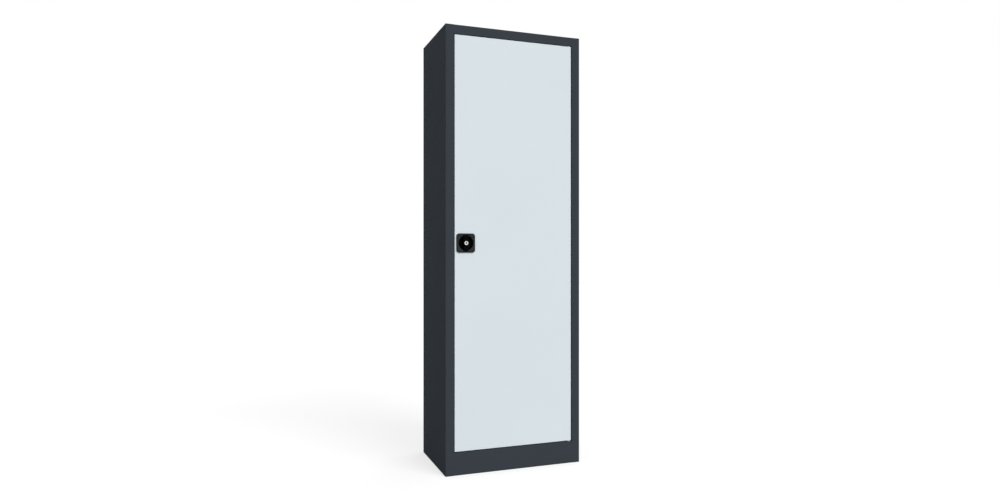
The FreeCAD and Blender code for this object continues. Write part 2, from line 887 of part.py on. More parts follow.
def rod_guide(x, lip_edge, inwards):
    """An angle on the door's lip, with a slot that the rod slides in."""
    outer = lip_edge + inwards * guide_edge
    inner = lip_edge + inwards * (door_lip - guide_edge)
    half_x = rod_width / 2 + guide_wall
    half_arm = guide_thickness / 2
    arm_z = inner - inwards * half_arm
    leg_back = door_thickness + guide_thickness
    leg = deep_block(x, half_x, door_thickness, leg_back, (outer + inner) / 2, abs(outer - inner) / 2)
    arm = deep_block(x, half_x, door_thickness, guide_back, arm_z, half_arm)
    slot = deep_block(
        x,
        rod_width / 2 + guide_gap,
        rod_front - guide_gap,
        rod_back + guide_gap,
        arm_z,
        half_arm,
    )
    guide = leg.fuse(arm).cut(slot)
    rivet_z = outer + inwards * rivet_inset
    for rivet_x in guide_rivet_places(x):
        guide = guide.cut(level(rivet_radius + rivet_fit, door_thickness, leg_back, rivet_x, rivet_z))
    return one_solid(guide)


def guide_rivets():
    """Rivets through the guides and the door's lips."""
    rivets = []
    lip_front = door_thickness - sheet
    leg_back = door_thickness + guide_thickness
    for x, z in rivet_places:
        shank = level(rivet_radius, lip_front, leg_back, x, z)
        tail = level(rivet_head_radius, lip_front - rivet_head_height, lip_front, x, z)
        head = level(rivet_head_radius, leg_back, leg_back + rivet_head_height, x, z)
        rivets.append(one_solid(shank.fuse(tail).fuse(head)))
    return Part.makeCompound(rivets)


left_side = side_panel()
pieces = {
    "left_side_panel": left_side,
    "right_side_panel": mirrored(left_side),
    "back_panel": back_panel(),
    "top_panel": top_panel(),
    "plinth_panel": plinth_panel(),
    "bottom_panel": bottom_panel(),
    "upper_hinge_bracket": hinge_bracket(header_z + sheet),
    "lower_hinge_bracket": hinge_bracket(floor_z - bracket_thickness),
    "upper_hinge_pin": upper_hinge_pin(),
    "lower_hinge_pin": lower_hinge_pin(),
    "hinge_washer": hinge_washer(),
    "door_buffers": door_buffers(),
    "door_panel": door_panel(),
    "door_stiffener": door_stiffener(),
    "upper_pivot_plate": pivot_plate(door_top - sheet - pivot_plate_thickness),
    "lower_pivot_plate": pivot_plate(door_bottom + sheet),
    "upper_hinge_bush": upper_hinge_bush(),
    "lower_hinge_bush": lower_hinge_bush(),
    "handle_housing": handle_housing(),
    "handle_screws": handle_screws(),
    "handle_grip": handle_grip(),
    "cylinder_barrel": cylinder_barrel(),
    "cylinder_plug": cylinder_plug(),
    "lock_bolt": lock_bolt(),
    "spindle": spindle(),
    "latch_cam": latch_cam(),
    "rod_pins": rod_pins(),
    "rod_retainers": rod_retainers(),
    "cam_washer": cam_washer(),
    "cam_screw": cam_screw(),
    "upper_rod": upper_rod(),
    "lower_rod": lower_rod(),
    "upper_rod_guide": rod_guide(upper_rod_x, door_top, -1),
    "lower_rod_guide": rod_guide(lower_rod_x, door_bottom, 1),
    "guide_rivets": guide_rivets(),
}

clips = []
for row, rail_y in rail_ys.items():
    rail = left_rail(rail_y)
    pieces["left_" + row + "_rail"] = rail
    pieces["right_" + row + "_rail"] = mirrored(rail)
    for number in range(1, shelf_count + 1):
        clip = left_clip(rail_y, number)
        clips += [clip, mirrored(clip)]
pieces["shelf_clips"] = Part.makeCompound(clips)

for number in range(1, shelf_count + 1):
    pieces["shelf_%d" % number] = shelf(number)
    pieces["shelf_%d_stiffener" % number] = shelf_stiffener(number)

os.makedirs("parts", exist_ok=True)
for name, shape in pieces.items():
    shape.exportStep(os.path.join("parts", name + ".step"))
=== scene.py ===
import json
import math

import bmesh
import bpy
from mathutils import Matrix, Vector

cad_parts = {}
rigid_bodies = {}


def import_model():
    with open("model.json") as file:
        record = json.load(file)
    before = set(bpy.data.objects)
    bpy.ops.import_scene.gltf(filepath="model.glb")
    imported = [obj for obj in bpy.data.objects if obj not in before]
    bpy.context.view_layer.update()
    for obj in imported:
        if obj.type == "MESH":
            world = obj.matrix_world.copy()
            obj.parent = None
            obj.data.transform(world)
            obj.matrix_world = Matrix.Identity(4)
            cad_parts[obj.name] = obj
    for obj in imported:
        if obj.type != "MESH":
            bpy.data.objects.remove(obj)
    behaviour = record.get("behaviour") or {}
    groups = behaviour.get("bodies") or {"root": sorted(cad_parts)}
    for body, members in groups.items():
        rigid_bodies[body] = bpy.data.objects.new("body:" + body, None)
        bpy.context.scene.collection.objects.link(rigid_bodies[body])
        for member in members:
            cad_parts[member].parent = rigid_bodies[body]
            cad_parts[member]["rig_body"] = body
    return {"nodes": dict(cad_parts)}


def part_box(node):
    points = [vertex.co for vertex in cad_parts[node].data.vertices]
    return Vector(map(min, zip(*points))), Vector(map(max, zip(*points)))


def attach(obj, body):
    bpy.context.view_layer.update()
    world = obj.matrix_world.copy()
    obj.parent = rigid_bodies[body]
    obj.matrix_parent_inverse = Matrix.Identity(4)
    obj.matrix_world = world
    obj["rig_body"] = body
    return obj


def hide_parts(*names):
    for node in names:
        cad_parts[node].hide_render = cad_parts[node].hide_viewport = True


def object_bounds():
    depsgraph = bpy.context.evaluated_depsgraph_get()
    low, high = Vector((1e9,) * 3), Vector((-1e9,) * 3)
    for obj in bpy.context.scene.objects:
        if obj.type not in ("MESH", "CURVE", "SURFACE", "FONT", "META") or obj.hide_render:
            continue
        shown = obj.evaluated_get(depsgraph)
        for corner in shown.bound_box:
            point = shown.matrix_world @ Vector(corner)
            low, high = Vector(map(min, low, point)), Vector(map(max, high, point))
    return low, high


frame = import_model()
cad_low, cad_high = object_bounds()


# Carcass: two folded side panels, the back, the top with its header, the plinth with its sill, and the floor.
# They are 0.8 mm steel sheet, spot-welded into one box and powder-coated in anthracite inside and out.

class Field:
    """A node's output, in a material or a geometry tree. Arithmetic on it adds Math nodes there."""

    def __init__(self, socket):
        self.socket = socket

    def node(self, kind, settings=None, sockets=None, output=0):
        """A new node in the same tree: its settings first, then its sockets, filled or linked."""
        made = self.socket.id_data.nodes.new(kind)
        for name, value in (settings or {}).items():
            setattr(made, name, value)
        fill_sockets(made, sockets or {})
        return Field(made.outputs[output])

    def math(self, operation, *values):
        return self.node("ShaderNodeMath", {"operation": operation}, dict(enumerate((self, *values))))

    def __add__(self, other):
        return self.math("ADD", other)

    def __mul__(self, other):
        return self.math("MULTIPLY", other)

    def __sub__(self, other):
        return self.math("SUBTRACT", other)

    def __rsub__(self, other):
        return self.math("MULTIPLY", -1.0) + other

    __radd__ = __add__
    __rmul__ = __mul__

    def step(self, start, end):
        """Rises smoothly from 0 at start to 1 at end."""
        settings = {"interpolation_type": "SMOOTHSTEP"}
        return self.node("ShaderNodeMapRange", settings, {"Value": self, "From Min": start, "From Max": end})

    def noise(self, scale, detail=2.0):
        """Cloudy noise, with so many waves in a metre."""
        sockets = {"Vector": self, "Scale": scale, "Detail": detail}
        return self.node("ShaderNodeTexNoise", None, sockets, "Fac")

    def stretch(self, x, y, z):
        return self.node("ShaderNodeMapping", None, {"Vector": self, "Scale": (x, y, z)})

    def axes(self):
        parts = self.node("ShaderNodeSeparateXYZ", None, {"Vector": self}).socket.node
        return [Field(output) for output in parts.outputs]

    def tint(self, first, second):
        """The first colour where the field is 0, and the second where it is 1."""
        colours = [value if isinstance(value, Field) else (*value, 1.0) for value in (first, second)]
        # A Mix node has an A and a B for each kind of value, so its colour sockets go by number.
        return self.node("ShaderNodeMix", {"data_type": "RGBA"}, {0: self, 6: colours[0], 7: colours[1]}, 2)

    def relief(self, height):
        """Surface normals of a relief, so many metres high."""
        return self.node("ShaderNodeBump", None, {"Height": self, "Distance": height}, "Normal")


def fill_sockets(node, sockets):
    """Sets each socket of a node to a value, or links it to a field."""
    for name, value in sockets.items():
        if isinstance(value, Field):
            node.id_data.links.new(value.socket, node.inputs[name])
        else:
            node.inputs[name].default_value = value


def new_finish(name):
    """A new material, its shader, and the place on the piece."""
    material = bpy.data.materials.new(name)
    material.use_nodes = True
    shader = material.node_tree.nodes["Principled BSDF"]
    return material, shader, Field(shader.outputs[0]).node("ShaderNodeTexCoord", None, None, "Object")


def shaded(colour, factor):
    return tuple(channel * factor for channel in colour)


def edge_distance(place, low, high):
    """How far a point on a box's faces lies from the nearest edge of the box."""
    depths = []
    for axis, start, end in zip(place.axes(), low, high):
        depths.append((end - start) / 2 - (axis - (start + end) / 2).math("ABSOLUTE"))
    # One depth is 0 on a face, so the middle one of the three is the distance to the nearest edge.
    first, second, third = depths
    return first.math("MINIMUM", second).math("MAXIMUM", first.math("MAXIMUM", second).math("MINIMUM", third))


def powder_coat(name, colour, edge_colour, box, texture, scuffs=0.0, touched=None):
    """Powder coat: a fine texture, a faint drift of tone, and a film that is worn thin on the box's edges.

    Scuffs run along the depth of the cabinet. Around a touched spot, hands have polished the coat.
    """
    drift_share, wear_share, peel_height = 0.06, 0.15, 90e-6
    film_start, film_end = 0.0012, 0.0002
    hand_reach, hand_middle = 0.16, 0.05
    scuff_gloss, hand_gloss = 0.2, 0.12
    material, shader, place = new_finish(name)
    grain = place.noise(1100.0)
    drift = place.noise(2.5, 3.0)
    shade = (grain - 0.5) * texture + (drift - 0.5) * drift_share + 1.0
    # A Mix node's factor stops at 1, so half the shade leads from black to twice the colour.
    tone = (shade * 0.5).tint((0, 0, 0), shaded(colour, 2.0))
    thin = edge_distance(place, *box).step(film_start, film_end) * place.noise(45.0, 4.0).step(0.38, 0.62)
    worn = (thin * wear_share).tint(tone, edge_colour)
    matt = place.noise(6.0, 4.0) * 0.12 + 0.80
    if scuffs:
        strokes = place.stretch(260.0, 5.0, 260.0).noise(1.0).step(0.63, 0.75)
        strokes = strokes * place.noise(7.0).step(0.45, 0.65) * scuffs
        worn = strokes.tint(worn, shaded(colour, 1.5))
        matt = matt - strokes * scuff_gloss
    if touched:
        apart = place.node("ShaderNodeVectorMath", {"operation": "DISTANCE"}, {0: place, 1: touched}, "Value")
        polish = apart.step(hand_reach, hand_middle) * place.noise(70.0, 3.0).step(0.45, 0.7)
        matt = matt - polish * hand_gloss
    peel = grain * (2 * texture) + place.noise(200.0, 1.0) * 1.5
    fill_sockets(shader, {"Base Color": worn, "Roughness": matt, "Normal": peel.relief(peel_height),
                          "Specular IOR Level": 0.03})
    return material


def dress(material, *nodes):
    """Gives CAD nodes a finish."""
    for node in nodes:
        frame["nodes"][node].material_slots[0].material = material


anthracite = (0.042, 0.0508, 0.0605)
anthracite_edge = (0.16, 0.17, 0.18)
carcass_texture = 0.8
goods_scuffs = 0.4
carcass_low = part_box("left_side_panel")[0]
carcass_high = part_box("right_side_panel")[1]
carcass_coat = powder_coat("anthracite_coat", anthracite, anthracite_edge, (carcass_low, carcass_high),
                           carcass_texture)
dress(carcass_coat, "left_side_panel", "right_side_panel", "back_panel", "top_panel", "plinth_panel")
floor_coat = powder_coat("anthracite_floor_coat", anthracite, anthracite_edge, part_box("bottom_panel"),
                         carcass_texture, goods_scuffs)
dress(floor_coat, "bottom_panel")


# Shelf rails and shelves: four slotted uprights of folded sheet welded to the sides, and four shelf pans.
# A folded stiffener is welded under each pan; goods that slide in and out scuff the shelves' coat.

rails = ["left_front_rail", "left_rear_rail", "right_front_rail", "right_rear_rail"]
shelves = ["shelf_1", "shelf_2", "shelf_3", "shelf_4"]
dress(carcass_coat, *rails)
for shelf in shelves:
    shelf_coat = powder_coat("anthracite_" + shelf, anthracite, anthracite_edge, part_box(shelf),
                             carcass_texture, goods_scuffs)
    dress(shelf_coat, shelf)
    dress(carcass_coat, shelf + "_stiffener")


# Spot welds of the carcass: the electrodes leave shallow rings along the welded flanges, under the coat.
# They run down the rear flanges, and across the shelves above their stiffeners.

def new_tree(name, inputs):
    """An empty geometry tree from points to pieces, and a field for each of its named inputs."""
    tree = bpy.data.node_groups.new(name, "GeometryNodeTree")
    for label, kind in {"Points": "Geometry", **inputs, "Finish": "Material"}.items():
        tree.interface.new_socket(label, in_out="INPUT", socket_type="NodeSocket" + kind)
    tree.interface.new_socket("Pieces", in_out="OUTPUT", socket_type="NodeSocketGeometry")
    source = tree.nodes.new("NodeGroupInput")
    return tree, {output.name: Field(output) for output in source.outputs if output.name}


def end_tree(tree, pieces, finish):
    """Makes a tree's instances real, gives them their finish and passes them out."""
    real = pieces.node("GeometryNodeRealizeInstances", None, {"Geometry": pieces})
    done = real.node("GeometryNodeSetMaterial", None, {"Geometry": real, "Material": finish})
    tree.links.new(done.socket, tree.nodes.new("NodeGroupOutput").inputs[0])


def set_on_points(points, shape):
    """Sets a shape on each point, with its Z axis along the point's outward direction."""
    out = points.node("GeometryNodeInputNamedAttribute", {"data_type": "FLOAT_VECTOR"}, {"Name": "out"})
    turn = out.node("FunctionNodeAlignRotationToVector", {"axis": "Z"}, {"Vector": out})
    return points.node("GeometryNodeInstanceOnPoints", None,
                       {"Points": points, "Instance": shape, "Rotation": turn})


def point_cloud(places, out=None, edges=()):
    """A mesh of points, with the direction that they face and any edges between them."""
    mesh = bpy.data.meshes.new("points")
    mesh.from_pydata([tuple(place) for place in places], edges, [])
    if out is not None:
        directions = mesh.attributes.new("out", "FLOAT_VECTOR", "POINT")
        for item in directions.data:
            item.vector = out
    return mesh


def grow(name, tree, points, values):
    """The plain mesh piece that a tree makes on its points."""
    carrier = set_out(name + "_points", points)
    modifier = carrier.modifiers.new("tree", "NODES")
    modifier.node_group = tree
    for item in tree.interface.items_tree:
        if item.in_out == "INPUT" and item.name in values:
            modifier[item.identifier] = values[item.name]
    mesh = finished_mesh(carrier)
    bpy.data.objects.remove(carrier)
    return set_out(name, mesh)


def set_out(name, mesh):
    """A piece of the scene with that mesh."""
    piece = bpy.data.objects.new(name, mesh)
    bpy.context.scene.collection.objects.link(piece)
    return piece


def finished_mesh(piece):
    """The mesh that a piece's modifiers leave, shaded smoothly between its sharp edges."""
    ready = piece.evaluated_get(bpy.context.evaluated_depsgraph_get())
    mesh = bpy.data.meshes.new_from_object(ready)
    mesh.shade_smooth()
    mesh.set_sharp_from_angle(angle=math.radians(35))
    return mesh


def spread(start, end, count):
    """Evenly spaced values, with half a step left at each end."""
    return [start + (end - start) * (index + 0.5) / count for index in range(count)]


weld_tree, weld = new_tree("spot_welds", {"Ring radius": "Float", "Bead radius": "Float",
                                          "Flattening": "Float"})
ring = weld["Points"].node("GeometryNodeCurvePrimitiveCircle", None,
                           {"Resolution": 20, "Radius": weld["Ring radius"]})
bead = ring.node("GeometryNodeCurvePrimitiveCircle", None, {"Resolution": 6, "Radius": weld["Bead radius"]})
torus = ring.node("GeometryNodeCurveToMesh", None, {"Curve": ring, "Profile Curve": bead})
flat_scale = torus.node("ShaderNodeCombineXYZ", None, {"X": 1.0, "Y": 1.0, "Z": weld["Flattening"]})
flat_ring = torus.node("GeometryNodeTransform", None, {"Geometry": torus, "Scale": flat_scale})
end_tree(weld_tree, set_on_points(weld["Points"], flat_ring), weld["Finish"])

weld_sizes = {"Ring radius": 0.0028, "Bead radius": 0.0006, "Flattening": 0.22}
rear_flange_middle, rear_weld_margin, rear_weld_count = 0.0125, 0.05, 16
back_face = carcass_high.y
back_welds = []
for side in (carcass_low.x + rear_flange_middle, carcass_high.x - rear_flange_middle):
    heights = spread(cad_low.z + rear_weld_margin, cad_high.z - rear_weld_margin, rear_weld_count)
    back_welds += [(side, back_face, height) for height in heights]
rear_rings = grow("rear_flange_welds", weld_tree, point_cloud(back_welds, (0, 1, 0)),
                  {**weld_sizes, "Finish": carcass_coat})
shelf_flange_middle, shelf_weld_count = 0.007, 7
shelf_welds = []
for shelf in shelves:
    brace_low, brace_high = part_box(shelf + "_stiffener")
    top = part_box(shelf)[1].z
    for depth in (brace_low.y + shelf_flange_middle, brace_high.y - shelf_flange_middle):
        places_across = spread(brace_low.x, brace_high.x, shelf_weld_count)
        shelf_welds += [(across, depth, top) for across in places_across]
shelf_rings = grow("shelf_welds", weld_tree, point_cloud(shelf_welds, (0, 0, 1)),
                   {**weld_sizes, "Finish": carcass_coat})
for rings in (rear_rings, shelf_rings):
    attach(rings, "carcass")


# Shelf clips: sixteen steel strips, folded into a ledge and a leg, with a hook that drops into a rail's slot.
# They are pressed from 1.5 mm strip and zinc-plated with a clear passivate.

def zinc_plate(name, grain):
    """Clear-passivated zinc: cool grey with faint blue and yellow drifts, and dull blotches.

    The steel's own grain shows through it, with so many lines in a metre along X, Y and Z.
    """
    bluish, yellowish, dull = (0.60, 0.615, 0.64), (0.645, 0.635, 0.595), (0.47, 0.48, 0.49)
    grain_height = 6e-6
    material, shader, place = new_finish(name)
    hue = place.noise(55.0).step(0.35, 0.65).tint(bluish, yellowish)
    blotch = (place.noise(160.0, 4.0).step(0.4, 0.75) * 0.5).tint(hue, dull)
    lines = place.stretch(*grain).noise(1.0, 3.0)
    fill_sockets(shader, {"Base Color": blotch, "Metallic": 1.0, "Normal": lines.relief(grain_height),
                          "Roughness": place.noise(90.0, 3.0) * 0.16 + lines * 0.1 + 0.24})
    return material


strip_zinc = zinc_plate("zinc_strip", grain=(900.0, 2200.0, 900.0))
strip_tree, strip = new_tree("folded_strips", {"Strip width": "Float", "Strip thickness": "Float",
                                               "Bend radius": "Float"})
path = strip["Points"].node("GeometryNodeMeshToCurve", None, {"Mesh": strip["Points"]})
bends = path.node("GeometryNodeFilletCurve", {"mode": "POLY"},
                  {"Curve": path, "Count": 6, "Radius": strip["Bend radius"], "Limit Radius": True})
upright = bends.node("GeometryNodeSetCurveNormal", {"mode": "FREE"}, {"Curve": bends, "Normal": (0, 1, 0)})
section = upright.node("GeometryNodeCurvePrimitiveQuadrilateral", None,
                       {"Width": strip["Strip width"], "Height": strip["Strip thickness"]})
strips = upright.node("GeometryNodeCurveToMesh", None,
                      {"Curve": upright, "Profile Curve": section, "Fill Caps": True})
end_tree(strip_tree, strips, strip["Finish"])


def paths(lines):
    """A mesh of separate open lines."""
    places = []
    edges = []
    for line in lines:
        edges += [(len(places) + index, len(places) + index + 1) for index in range(len(line) - 1)]
        places += line
    return point_cloud(places, None, edges)


clip_sheet, clip_bend = 0.0015, 0.0016
clip_width, hook_width = 0.020, 0.0132
clip_ledge, clip_leg, clip_hook = 0.014, 0.022, 0.006
hook_drop, hook_height = 0.010, 0.0042
clip_lines = []
hook_lines = []
for rail in rails:
    rail_low, rail_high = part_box(rail)
    inward = 1 if rail_low.x < 0 else -1
    face = rail_high.x if inward > 0 else rail_low.x
    middle = (rail_low.y + rail_high.y) / 2
    for shelf in shelves:
        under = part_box(shelf)[0].z
        web = face + inward * clip_sheet / 2
        clip_lines.append([(web, middle, under - clip_leg), (web, middle, under - clip_sheet / 2),
                           (face + inward * clip_ledge, middle, under - clip_sheet / 2)])
        low_tongue = under - hook_drop - hook_height / 2 + clip_sheet / 2
        tip = face - inward * (clip_hook - clip_sheet / 2)
        hook_lines.append([(web, middle, low_tongue), (tip, middle, low_tongue),
                           (tip, middle, under - hook_drop + hook_height / 2)])
strip_sizes = {"Strip thickness": clip_sheet, "Bend radius": clip_bend, "Finish": strip_zinc}
clips = grow("folded_shelf_clips", strip_tree, paths(clip_lines), {**strip_sizes, "Strip width": clip_width})
hooks = grow("shelf_clip_hooks", strip_tree, paths(hook_lines), {**strip_sizes, "Strip width": hook_width})
for piece in (clips, hooks):
    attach(piece, "carcass")
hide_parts("shelf_clips")


# Hinge of the cabinet: two plates behind the header and under the sill, each with a headed steel pin.
# The plates are welded in and coated with the carcass; a pale nylon washer carries the door's weight.

def softened(node, width, material, segments=2):
    """A copy of a CAD node with its sharp edges broken, standing for the node."""
    same_place = 1e-6
    flat, sharp = math.radians(0.2), math.radians(32)
    copy = bmesh.new()
    copy.from_mesh(frame["nodes"][node].data)
    bmesh.ops.remove_doubles(copy, verts=copy.verts, dist=same_place)
    bmesh.ops.dissolve_limit(copy, verts=copy.verts, edges=copy.edges, angle_limit=flat)
    mesh = bpy.data.meshes.new(node + "_finished")
    copy.to_mesh(mesh)
    copy.free()
    mesh.shade_smooth()
    mesh.materials.append(material)
    piece = set_out(node + "_finished", mesh)
    bevel = piece.modifiers.new("broken edges", "BEVEL")
    bevel.width = width
    bevel.segments = segments
    bevel.angle_limit = sharp
    bevel.harden_normals = True
    piece.modifiers.new("closed corners", "WELD").merge_threshold = same_place
    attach(piece, frame["nodes"][node]["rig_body"])
    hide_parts(node)
    return piece


def nylon_finish():
    """Natural nylon: waxy, slightly yellow and uneven in tone."""
    yellowed, pale = (0.74, 0.74, 0.69), (0.84, 0.84, 0.80)
    grain_height = 8e-6
    material, shader, place = new_finish("natural_nylon")
    tone = place.noise(300.0, 3.0).tint(yellowed, pale)
    fill_sockets(shader, {"Base Color": tone, "Roughness": place.noise(500.0) * 0.2 + 0.35,
                          "Normal": place.noise(2500.0, 1.0).relief(grain_height)})
    return material


wide_edge, small_edge, fine_edge = 0.0004, 0.0003, 0.0002
turned_zinc = zinc_plate("zinc_turned", grain=(700.0, 700.0, 5200.0))
nylon = nylon_finish()
for bracket in ("upper_hinge_bracket", "lower_hinge_bracket"):
    softened(bracket, wide_edge, carcass_coat)
for pin in ("upper_hinge_pin", "lower_hinge_pin"):
    softened(pin, wide_edge, turned_zinc)
softened("hinge_washer", small_edge, nylon)


# Door buffers: three black rubber buttons pressed into the stop on the latch side.
# Each is moulded with a domed face that the door closes against.

def lathe(profile, segments):
    """A closed mesh turned about Z from a line of (radius, height) that starts and ends on the axis."""
    turned = bmesh.new()
    rings = []
    for radius, height in profile:
        count = segments if radius > 0 else 1
        angles = [2 * math.pi * index / count for index in range(count)]
        rings.append([turned.verts.new((radius * math.cos(a), radius * math.sin(a), height)) for a in angles])
    bridge(turned, rings)
    mesh = bpy.data.meshes.new("turned")
    turned.to_mesh(mesh)
    turned.free()
    return mesh


def bridge(target, rings, finish=0):
    """Faces between neighbouring rings of points, and fans where a ring is a single point."""
    for first, second in zip(rings, rings[1:]):
        count = max(len(first), len(second))
        for index in range(count):
            after = (index + 1) % count
            corners = [first[index % len(first)], first[after % len(first)],
                       second[after % len(second)], second[index % len(second)]]
            target.faces.new(list(dict.fromkeys(corners))).material_index = finish
    bmesh.ops.recalc_face_normals(target, faces=target.faces)


def rubber_finish():
    """Moulded black rubber with dusty grey patches."""
    clean, dusty = (0.014, 0.014, 0.015), (0.034, 0.033, 0.032)
    grain_height = 12e-6
    material, shader, place = new_finish("black_rubber")
    tone = place.noise(400.0, 4.0).step(0.4, 0.8).tint(clean, dusty)
    fill_sockets(shader, {"Base Color": tone, "Roughness": place.noise(700.0) * 0.2 + 0.62,
                          "Normal": place.noise(3000.0, 1.0).relief(grain_height), "Specular IOR Level": 0.3})
    return material


stud_tree, stud = new_tree("turned_studs", {"Shape": "Object"})
turned_shape = stud["Shape"].node("GeometryNodeObjectInfo", None, {"Object": stud["Shape"]}, "Geometry")
end_tree(stud_tree, set_on_points(stud["Points"], turned_shape), stud["Finish"])


turned_sides = 40


def studs(name, profile, places, out, material):
    """Turned studs of one profile, set on their places."""
    model = set_out(name + "_model", lathe(profile, turned_sides))
    piece = grow(name, stud_tree, point_cloud(places, out), {"Shape": model, "Finish": material})
    bpy.data.objects.remove(model)
    return piece


def dome(outer, inner, low, high, steps):
    """A quarter oval of (radius, height), from the outer radius at the low end to the inner one on top."""
    angles = [math.pi / 2 * index / steps for index in range(steps + 1)]
    return [(inner + (outer - inner) * math.cos(a), low + (high - low) * math.sin(a)) for a in angles]


buffer_low, buffer_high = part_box("door_buffers")
buffer_radius = (buffer_high.x - buffer_low.x) / 2
buffer_height = buffer_high.y - buffer_low.y
buffer_wall = 0.45 * buffer_height
buffer_dome = dome(buffer_radius, 0, buffer_wall, buffer_height, steps=8)[:-1]
buffer_profile = [(0, 0), (buffer_radius, 0), *buffer_dome, (0, buffer_height)]
lowest, highest = buffer_low.z + buffer_radius, buffer_high.z - buffer_radius
buffer_heights = (lowest, (lowest + highest) / 2, highest)
buffer_places = [(buffer_low.x + buffer_radius, buffer_high.y, height) for height in buffer_heights]
buffers = studs("rubber_buffers", buffer_profile, buffer_places, (0, -1, 0), rubber_finish())
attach(buffers, "carcass")
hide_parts("door_buffers")


# Door: a flush pan of folded sheet with lips on four sides, powder-coated in light grey.
# A vertical hat section is spot-welded inside, and a plate thickens the pan at each hinge pin.

light_grey = (0.698, 0.766, 0.805)
light_grey_edge = shaded(light_grey, 0.7)
door_texture = 0.15
door_sheet = 0.0008
door_low, door_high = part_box("door_panel")
handle_low, handle_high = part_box("handle_housing")
handle_middle = (handle_low + handle_high) / 2
grip_spot = (handle_middle.x, door_low.y, handle_middle.z)
door_coat = powder_coat("light_grey_coat", light_grey, light_grey_edge, (door_low, door_high), door_texture,
                        touched=grip_spot)
dress(door_coat, "door_panel", "door_stiffener", "upper_pivot_plate", "lower_pivot_plate")
for bush in ("upper_hinge_bush", "lower_hinge_bush"):
    softened(bush, fine_edge, nylon)

door_flange_middle, door_weld_count = 0.0075, 16
hat_low, hat_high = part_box("door_stiffener")
weld_face = hat_low.y + door_sheet
door_welds = []
for across in (hat_low.x + door_flange_middle, hat_high.x - door_flange_middle):
    heights = spread(hat_low.z, hat_high.z, door_weld_count)
    door_welds += [(across, weld_face, height) for height in heights]
door_rings = grow("door_stiffener_welds", weld_tree, point_cloud(door_welds, (0, 1, 0)),
                  {**weld_sizes, "Finish": door_coat})
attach(door_rings, "door")


# Handle housing: a black moulded plate with a round dish, and behind it a bearing boss with two notches
# for the lock bolt. It is glass-filled nylon with a fine grain.
# It is set in the door's hole and screwed on from inside.

def moulded_black(name, colour, grain, specular):
    """Black moulding with a fine eroded grain and paler specks."""
    material, shader, place = new_finish(name)
    tone = place.noise(900.0, 3.0).tint(shaded(colour, 0.8), shaded(colour, 1.25))
    speck = place.noise(3200.0, 1.0).step(0.55, 0.8).tint(tone, shaded(colour, 1.8))
    fill_sockets(shader, {"Base Color": speck, "Roughness": place.noise(60.0, 3.0) * 0.14 + 0.46,
                          "Normal": (place.noise(1800.0, 1.0) + place.noise(700.0, 1.0)).relief(grain),
                          "Specular IOR Level": specular})
    return material


ring_points = 160
handle_angles = [2 * math.pi * index / ring_points for index in range(ring_points)]


def square_ring(half, corner, depth):
    """Points around a rounded square, seen from the handle's middle at even angles."""
    points = []
    for angle in handle_angles:
        along = Vector((math.cos(angle), math.sin(angle)))
        spot = along * half / max(abs(along.x), abs(along.y))
        inner = half - corner
        if abs(spot.x) > inner and abs(spot.y) > inner:
            centre = Vector((math.copysign(inner, along.x), math.copysign(inner, along.y)))
            reach = along.dot(centre)
            spot = along * (reach + math.sqrt(reach * reach - centre.length_squared + corner * corner))
        points.append((spot.x, depth, spot.y))
    return points


def round_ring(radius, depth):
    return [(radius * math.cos(angle), depth, radius * math.sin(angle)) for angle in handle_angles]


plate_half = (handle_high.x - handle_low.x) / 2
plate_proud = door_low.y - handle_low.y
plate_corner, plate_round = 0.012, 0.0015
dish_radius, dish_floor, dish_curve, dish_wall = 0.031, 0.010, 0.015, 0.0025
bore_radius, boss_radius = 0.0131, 0.020
boss_back = handle_high.y - door_low.y
floor_radius = dish_radius - dish_curve
quarter_steps, back_rings = 14, 10
quarter = [math.pi / 2 * index / quarter_steps for index in range(quarter_steps + 1)]
lip, bore_edge, boss_edge = 0.0006, 0.0004, 0.0005

housing_rings = [round_ring(bore_radius, dish_floor + bore_edge),
                 round_ring(bore_radius + bore_edge, dish_floor)]
for angle in quarter[:-1]:
    housing_rings.append(round_ring(floor_radius + dish_curve * math.sin(angle),
                                    dish_floor - dish_curve + dish_curve * math.cos(angle)))
for angle in quarter[::3]:
    housing_rings.append(round_ring(dish_radius + lip * (1 - math.cos(angle)),
                                    -plate_proud + lip * (1 - math.sin(angle))))
dish_rings = len(housing_rings)
for angle in quarter[::2]:
    half = plate_half - plate_round * (1 - math.sin(angle))
    housing_rings.append(square_ring(half, half - plate_half + plate_corner,
                                     -plate_proud + plate_round * (1 - math.cos(angle))))
housing_rings.append(square_ring(plate_half, plate_corner, 0))
outer_curve = dish_curve + dish_wall
skin_angle = math.acos((dish_curve - dish_floor) / outer_curve)
boss_angle = math.asin((boss_radius - floor_radius) / outer_curve)
for index in range(back_rings):
    angle = skin_angle + (boss_angle - skin_angle) * index / (back_rings - 1)
    housing_rings.append(round_ring(floor_radius + outer_curve * math.sin(angle),
                                    dish_floor - dish_curve + outer_curve * math.cos(angle)))
for radius, depth in ((boss_radius, boss_back - boss_edge), (boss_radius - boss_edge, boss_back),
                      (bore_radius + boss_edge, boss_back), (bore_radius, boss_back - boss_edge)):
    housing_rings.append(round_ring(radius, depth))

